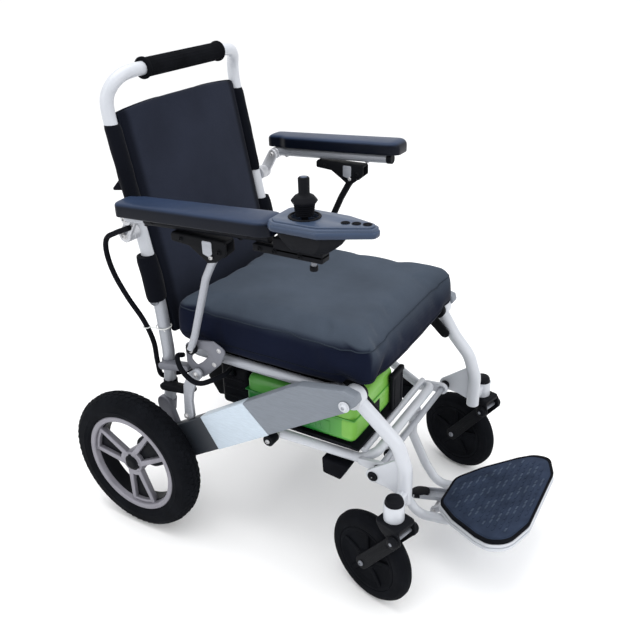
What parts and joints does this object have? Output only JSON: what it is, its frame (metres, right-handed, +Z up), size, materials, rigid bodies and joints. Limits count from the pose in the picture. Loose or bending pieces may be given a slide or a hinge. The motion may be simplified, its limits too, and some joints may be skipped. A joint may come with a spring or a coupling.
{
  "type": "power wheelchair",
  "caption": "Folding power wheelchair with joystick armrest, sprung casters, spoked drive wheels, padded seat, battery under the seat and flip-up footplate.",
  "frame": {"origin": "middle of the bounding box, on the floor", "axes": "+X the way the rider faces, +Y the rider's left, +Z up"},
  "size_m": [0.936, 0.6068, 0.956],
  "materials": {
    "back_frame": "satin",
    "backrest_sling": "matte",
    "battery_case": "satin",
    "battery_dock": "matte",
    "battery_tray": "matte",
    "control_cable": "matte",
    "controller_base": "matte",
    "controller_button_1": "matte",
    "controller_button_2": "matte",
    "controller_button_3": "matte",
    "controller_housing": "satin",
    "dock_cable": "matte",
    "footplate_bar": "satin",
    "footplate_pad": "matte",
    "footplate_tray": "satin",
    "footrest_hanger": "satin",
    "front_cross_tube": "satin",
    "front_pivot_shaft": "satin",
    "joystick": "matte",
    "joystick_gimbal": "satin",
    "left_arm_bracket": "satin",
    "left_arm_clevis": "satin",
    "left_arm_pad": "satin",
    "left_arm_rail": "satin",
    "left_arm_strut": "satin",
    "left_caster_arm": "satin",
    "left_caster_crown": "satin",
    "left_caster_wheel": "matte",
    "left_freewheel_lever": "satin",
    "left_front_leg": "satin",
    "left_lower_post": "satin",
    "left_motor": "satin",
    "left_rear_strut": "satin",
    "left_rim": "satin",
    "left_rubber_foot": "matte",
    "left_side_beam": "satin",
    "left_tyre": "matte",
    "lower_frame": "satin",
    "motor_controller": "matte",
    "push_grip": "matte",
    "rear_cross_tube": "satin",
    "right_arm_bracket": "satin",
    "right_arm_clevis": "satin",
    "right_arm_pad": "satin",
    "right_arm_rail": "satin",
    "right_arm_strut": "satin",
    "right_caster_arm": "satin",
    "right_caster_crown": "satin",
    "right_caster_wheel": "matte",
    "right_freewheel_lever": "satin",
    "right_front_leg": "satin",
    "right_lower_post": "satin",
    "right_motor": "satin",
    "right_rear_strut": "satin",
    "right_rim": "satin",
    "right_rubber_foot": "matte",
    "right_side_beam": "satin",
    "right_tyre": "matte",
    "seat_cushion": "matte",
    "seat_frame": "satin"
  },
  "bodies": {
    "rear_frame": {"right_side_beam": "right_side_beam", "left_side_beam": "left_side_beam", "right_motor": "right_motor", "left_motor": "left_motor", "right_rear_strut": "right_rear_strut", "left_rear_strut": "left_rear_strut", "right_lower_post": "right_lower_post", "left_lower_post": "left_lower_post", "front_cross_tube": "front_cross_tube", "rear_cross_tube": "rear_cross_tube", "seat_frame": "seat_frame", "seat_cushion": "seat_cushion", "battery_case": "battery_case", "battery_tray": "battery_tray", "battery_dock": "battery_dock", "motor_controller": "motor_controller", "control_cable": "control_cable", "dock_cable": "dock_cable"},
    "front_frame": {"right_front_leg": "right_front_leg", "left_front_leg": "left_front_leg", "front_pivot_shaft": "front_pivot_shaft"},
    "lower_frame": {"lower_frame": "lower_frame", "right_rubber_foot": "right_rubber_foot", "left_rubber_foot": "left_rubber_foot", "footrest_hanger": "footrest_hanger"},
    "footplate": {"footplate_tray": "footplate_tray", "footplate_pad": "footplate_pad", "footplate_bar": "footplate_bar"},
    "backrest": {"back_frame": "back_frame", "push_grip": "push_grip", "backrest_sling": "backrest_sling"},
    "joystick_gimbal": {"joystick_gimbal": "joystick_gimbal"},
    "joystick": {"joystick": "joystick"},
    "button_1": {"controller_button_1": "controller_button_1"},
    "button_2": {"controller_button_2": "controller_button_2"},
    "button_3": {"controller_button_3": "controller_button_3"},
    "right_lever": {"right_freewheel_lever": "right_freewheel_lever"},
    "right_wheel": {"right_tyre": "right_tyre", "right_rim": "right_rim"},
    "right_caster": {"right_caster_crown": "right_caster_crown"},
    "right_caster_arm": {"right_caster_arm": "right_caster_arm"},
    "right_caster_wheel": {"right_caster_wheel": "right_caster_wheel"},
    "right_clevis": {"right_arm_clevis": "right_arm_clevis"},
    "right_arm": {"right_arm_rail": "right_arm_rail", "right_arm_bracket": "right_arm_bracket", "right_arm_pad": "right_arm_pad", "controller_housing": "controller_housing", "controller_base": "controller_base"},
    "right_strut": {"right_arm_strut": "right_arm_strut"},
    "left_lever": {"left_freewheel_lever": "left_freewheel_lever"},
    "left_wheel": {"left_tyre": "left_tyre", "left_rim": "left_rim"},
    "left_caster": {"left_caster_crown": "left_caster_crown"},
    "left_caster_arm": {"left_caster_arm": "left_caster_arm"},
    "left_caster_wheel": {"left_caster_wheel": "left_caster_wheel"},
    "left_clevis": {"left_arm_clevis": "left_arm_clevis"},
    "left_arm": {"left_arm_rail": "left_arm_rail", "left_arm_bracket": "left_arm_bracket", "left_arm_pad": "left_arm_pad"},
    "left_strut": {"left_arm_strut": "left_arm_strut"}
  },
  "joints": [
    {"name": "front_fold", "type": "hinge", "parent": "rear_frame", "child": "front_frame", "pos_m": [0.172, 0, 0.421], "axis": [0, 1, 0], "range_deg": [0, 30]},
    {"name": "lower_fold", "type": "hinge", "parent": "front_frame", "child": "lower_frame", "pos_m": [0.203, 0, 0.249], "axis": [0, 1, 0], "range_deg": [-50, 0]},
    {"name": "footplate_flip", "type": "hinge", "parent": "lower_frame", "child": "footplate", "pos_m": [0.27, 0, 0.083], "axis": [0, -1, 0], "range_deg": [0, 60]},
    {"name": "backrest_fold", "type": "hinge", "parent": "rear_frame", "child": "backrest", "pos_m": [-0.268, 0, 0.56], "axis": [0, 1, 0], "range_deg": [0, 88]},
    {"name": "right_wheel_spin", "type": "hinge", "parent": "rear_frame", "child": "right_wheel", "pos_m": [-0.309, -0.2688, 0.157], "axis": [0, 1, 0], "continuous": true},
    {"name": "right_lever_turn", "type": "hinge", "parent": "rear_frame", "child": "right_lever", "pos_m": [-0.309, -0.1457, 0.157], "axis": [0, 1, 0], "range_deg": [0, 40]},
    {"name": "right_caster_swivel", "type": "hinge", "parent": "front_frame", "child": "right_caster", "pos_m": [0.2676, -0.2298, 0.2142], "axis": [0, 0, 1], "continuous": true},
    {"name": "right_caster_spring", "type": "hinge", "parent": "right_caster", "child": "right_caster_arm", "pos_m": [0.28831, -0.23558, 0.188], "axis": [0.2687, 0.9632, 0], "range_deg": [-3, 3], "stiffness_Nm_per_rad": 600},
    {"name": "right_caster_roll", "type": "hinge", "parent": "right_caster_arm", "child": "right_caster_wheel", "pos_m": [0.21848, -0.2161, 0.0924], "axis": [0.2687, 0.9632, 0], "continuous": true},
    {"name": "right_clevis_turn", "type": "hinge", "parent": "backrest", "child": "right_clevis", "pos_m": [-0.287, -0.22, 0.655], "axis": [0, 1, 0], "range_deg": [-88, 0]},
    {"name": "right_arm_flip", "type": "hinge", "parent": "right_clevis", "child": "right_arm", "pos_m": [-0.262, -0.25, 0.697], "axis": [0, -1, 0], "range_deg": [0, 92]},
    {"name": "right_strut_turn", "type": "hinge", "parent": "rear_frame", "child": "right_strut", "pos_m": [-0.165, -0.2245, 0.44], "axis": [0, 1, 0], "range_deg": [0, 30]},
    {"name": "left_wheel_spin", "type": "hinge", "parent": "rear_frame", "child": "left_wheel", "pos_m": [-0.309, 0.2688, 0.157], "axis": [0, 1, 0], "continuous": true},
    {"name": "left_lever_turn", "type": "hinge", "parent": "rear_frame", "child": "left_lever", "pos_m": [-0.309, 0.1457, 0.157], "axis": [0, 1, 0], "range_deg": [0, 40]},
    {"name": "left_caster_swivel", "type": "hinge", "parent": "front_frame", "child": "left_caster", "pos_m": [0.2676, 0.2298, 0.2142], "axis": [0, 0, 1], "continuous": true},
    {"name": "left_caster_spring", "type": "hinge", "parent": "left_caster", "child": "left_caster_arm", "pos_m": [0.28831, 0.22402, 0.188], "axis": [0.2687, 0.9632, 0], "range_deg": [-3, 3], "stiffness_Nm_per_rad": 600},
    {"name": "left_caster_roll", "type": "hinge", "parent": "left_caster_arm", "child": "left_caster_wheel", "pos_m": [0.21848, 0.2435, 0.0924], "axis": [0.2687, 0.9632, 0], "continuous": true},
    {"name": "left_clevis_turn", "type": "hinge", "parent": "backrest", "child": "left_clevis", "pos_m": [-0.287, 0.22, 0.655], "axis": [0, 1, 0], "range_deg": [-88, 0]},
    {"name": "left_arm_flip", "type": "hinge", "parent": "left_clevis", "child": "left_arm", "pos_m": [-0.262, 0.25, 0.697], "axis": [0, -1, 0], "range_deg": [0, 92]},
    {"name": "left_strut_turn", "type": "hinge", "parent": "rear_frame", "child": "left_strut", "pos_m": [-0.165, 0.2245, 0.44], "axis": [0, 1, 0], "range_deg": [0, 30]},
    {"name": "joystick_pitch", "type": "hinge", "parent": "right_arm", "child": "joystick_gimbal", "pos_m": [0.126, -0.27, 0.756], "axis": [0, 1, 0], "range_deg": [-15, 15], "stiffness_Nm_per_rad": 0.12},
    {"name": "joystick_roll", "type": "hinge", "parent": "joystick_gimbal", "child": "joystick", "pos_m": [0.126, -0.27, 0.756], "axis": [1, 0, 0], "range_deg": [-15, 15], "stiffness_Nm_per_rad": 0.12},
    {"name": "button_1_press", "type": "slide", "parent": "right_arm", "child": "button_1", "axis": [0, 0, -1], "range_m": [0, 0.0012], "stiffness_N_per_m": 150},
    {"name": "button_2_press", "type": "slide", "parent": "right_arm", "child": "button_2", "axis": [0, 0, -1], "range_m": [0, 0.0012], "stiffness_N_per_m": 150},
    {"name": "button_3_press", "type": "slide", "parent": "right_arm", "child": "button_3", "axis": [0, 0, -1], "range_m": [0, 0.0012], "stiffness_N_per_m": 150}
  ],
  "couplings": [
    {"joint": "lower_fold", "follows": "front_fold", "ratio": -1.6575},
    {"joint": "right_clevis_turn", "follows": "backrest_fold", "ratio": -1},
    {"joint": "right_strut_turn", "follows": "backrest_fold", "ratio": 0.32},
    {"joint": "left_clevis_turn", "follows": "backrest_fold", "ratio": -1},
    {"joint": "left_strut_turn", "follows": "backrest_fold", "ratio": 0.32}
  ]
}
